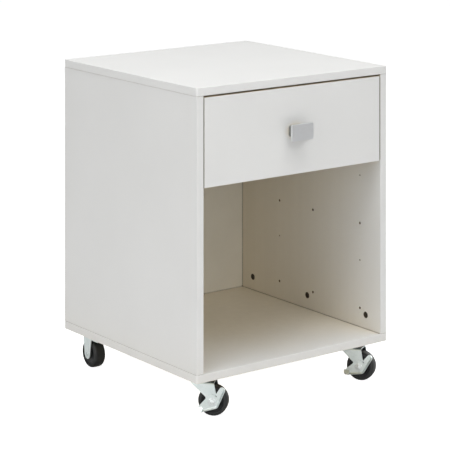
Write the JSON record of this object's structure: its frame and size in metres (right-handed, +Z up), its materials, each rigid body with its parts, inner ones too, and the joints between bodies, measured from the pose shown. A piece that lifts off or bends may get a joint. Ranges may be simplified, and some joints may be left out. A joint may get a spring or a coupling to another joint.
{
  "type": "rolling pedestal cabinet",
  "caption": "White office pedestal on swivel casters: a drawer on roller runners with a plate handle above an open compartment with pre-drilled sides; side brakes at the front.",
  "frame": {"origin": "on the floor, at the centre of the footprint at rest, which runs from the face of the handle to the rear edges of the panels", "axes": "+X to the right as seen from the drawer side, +Y to the back, +Z up"},
  "size_m": [0.45, 0.463, 0.602],
  "materials": {
    "white_board": "satin white melamine",
    "hardboard": "painted hardboard",
    "dowel_wood": "raw beech",
    "zinc_cast": "dull die-cast zinc",
    "bright_steel": "bright zinc plate",
    "white_steel": "white powder coat",
    "nylon": "off-white nylon",
    "satin_handle": "satin grey",
    "caster_steel": "bright zinc plate on stamped steel",
    "ball_steel": "polished",
    "wheel_core": "matte black",
    "tread": "matte black"
  },
  "bodies": {
    "cabinet": {"top_panel": "white_board", "bottom_panel": "white_board", "left_side_panel": "white_board", "right_side_panel": "white_board", "back_panel": "hardboard", "cam_locks": "zinc_cast", "cam_bolts": "bright_steel", "wood_dowels": "dowel_wood", "left_cabinet_rail": "white_steel", "right_cabinet_rail": "white_steel", "cabinet_rail_pins": "bright_steel", "cabinet_rail_screws": "bright_steel", "caster_plates": "caster_steel", "caster_kingpins": "bright_steel", "caster_screws": "bright_steel"},
    "drawer": {"drawer_front": "white_board", "drawer_left_side": "white_board", "drawer_right_side": "white_board", "drawer_back": "white_board", "drawer_bottom": "hardboard", "drawer_cam_locks": "zinc_cast", "drawer_cam_bolts": "bright_steel", "drawer_back_screws": "bright_steel", "left_drawer_rail": "white_steel", "right_drawer_rail": "white_steel", "drawer_rail_pins": "bright_steel", "drawer_rail_screws": "bright_steel", "handle": "satin_handle", "handle_screws": "bright_steel"},
    "left_front_roller": {"left_cabinet_roller": "nylon"},
    "right_front_roller": {"right_cabinet_roller": "nylon"},
    "left_rear_roller": {"left_drawer_roller": "nylon"},
    "right_rear_roller": {"right_drawer_roller": "nylon"},
    "front_left_caster": {"front_left_fork": "caster_steel", "front_left_balls": "ball_steel", "front_left_axle": "bright_steel"},
    "front_left_wheel": {"front_left_hub": "wheel_core", "front_left_tyre": "tread"},
    "front_left_brake_lever": {"front_left_brake": "caster_steel"},
    "front_right_caster": {"front_right_fork": "caster_steel", "front_right_balls": "ball_steel", "front_right_axle": "bright_steel"},
    "front_right_wheel": {"front_right_hub": "wheel_core", "front_right_tyre": "tread"},
    "front_right_brake_lever": {"front_right_brake": "caster_steel"},
    "rear_left_caster": {"rear_left_fork": "caster_steel", "rear_left_balls": "ball_steel", "rear_left_axle": "bright_steel"},
    "rear_left_wheel": {"rear_left_hub": "wheel_core", "rear_left_tyre": "tread"},
    "rear_right_caster": {"rear_right_fork": "caster_steel", "rear_right_balls": "ball_steel", "rear_right_axle": "bright_steel"},
    "rear_right_wheel": {"rear_right_hub": "wheel_core", "rear_right_tyre": "tread"}
  },
  "joints": [
    {"name": "drawer_slide", "type": "slide", "parent": "cabinet", "child": "drawer", "axis": [0, -1, 0], "range_m": [0, 0.265]},
    {"name": "left_front_roller_spin", "type": "hinge", "parent": "cabinet", "child": "left_front_roller", "pos_m": [-0.20275, -0.1785, 0.45515], "axis": [1, 0, 0], "continuous": true},
    {"name": "left_rear_roller_spin", "type": "hinge", "parent": "drawer", "child": "left_rear_roller", "pos_m": [-0.20275, 0.1455, 0.45495], "axis": [1, 0, 0], "continuous": true},
    {"name": "right_front_roller_spin", "type": "hinge", "parent": "cabinet", "child": "right_front_roller", "pos_m": [0.20275, -0.1785, 0.45515], "axis": [1, 0, 0], "continuous": true},
    {"name": "right_rear_roller_spin", "type": "hinge", "parent": "drawer", "child": "right_rear_roller", "pos_m": [0.20275, 0.1455, 0.45495], "axis": [1, 0, 0], "continuous": true},
    {"name": "front_left_swivel", "type": "hinge", "parent": "cabinet", "child": "front_left_caster", "pos_m": [-0.177, -0.1525, 0.0625], "axis": [0, 0, 1], "continuous": true},
    {"name": "front_left_wheel_spin", "type": "hinge", "parent": "front_left_caster", "child": "front_left_wheel", "pos_m": [-0.1596, -0.17182, 0.0275], "axis": [0.7431, 0.6691, 0], "continuous": true},
    {"name": "front_left_brake_press", "type": "hinge", "parent": "front_left_caster", "child": "front_left_brake_lever", "pos_m": [-0.1596, -0.17182, 0.0275], "axis": [-0.7431, -0.6691, 0], "range_deg": [0, 12]},
    {"name": "front_right_swivel", "type": "hinge", "parent": "cabinet", "child": "front_right_caster", "pos_m": [0.177, -0.1525, 0.0625], "axis": [0, 0, 1], "continuous": true},
    {"name": "front_right_wheel_spin", "type": "hinge", "parent": "front_right_caster", "child": "front_right_wheel", "pos_m": [0.19039, -0.17479, 0.0275], "axis": [0.8572, 0.515, 0], "continuous": true},
    {"name": "front_right_brake_press", "type": "hinge", "parent": "front_right_caster", "child": "front_right_brake_lever", "pos_m": [0.19039, -0.17479, 0.0275], "axis": [-0.8572, -0.515, 0], "range_deg": [0, 12]},
    {"name": "rear_left_swivel", "type": "hinge", "parent": "cabinet", "child": "rear_left_caster", "pos_m": [-0.177, 0.1745, 0.0625], "axis": [0, 0, 1], "continuous": true},
    {"name": "rear_left_wheel_spin", "type": "hinge", "parent": "rear_left_caster", "child": "rear_left_wheel", "pos_m": [-0.17609, 0.20048, 0.0275], "axis": [-0.9994, 0.0349, 0], "continuous": true},
    {"name": "rear_right_swivel", "type": "hinge", "parent": "cabinet", "child": "rear_right_caster", "pos_m": [0.177, 0.1745, 0.0625], "axis": [0, 0, 1], "continuous": true},
    {"name": "rear_right_wheel_spin", "type": "hinge", "parent": "rear_right_caster", "child": "rear_right_wheel", "pos_m": [0.16726, 0.19861, 0.0275], "axis": [-0.9272, -0.3746, 0], "continuous": true}
  ],
  "couplings": [
    {"joint": "left_front_roller_spin", "follows": "drawer_slide", "rad_per_m": 111.11},
    {"joint": "left_rear_roller_spin", "follows": "drawer_slide", "rad_per_m": 111.11},
    {"joint": "right_front_roller_spin", "follows": "drawer_slide", "rad_per_m": 111.11},
    {"joint": "right_rear_roller_spin", "follows": "drawer_slide", "rad_per_m": 111.11}
  ]
}
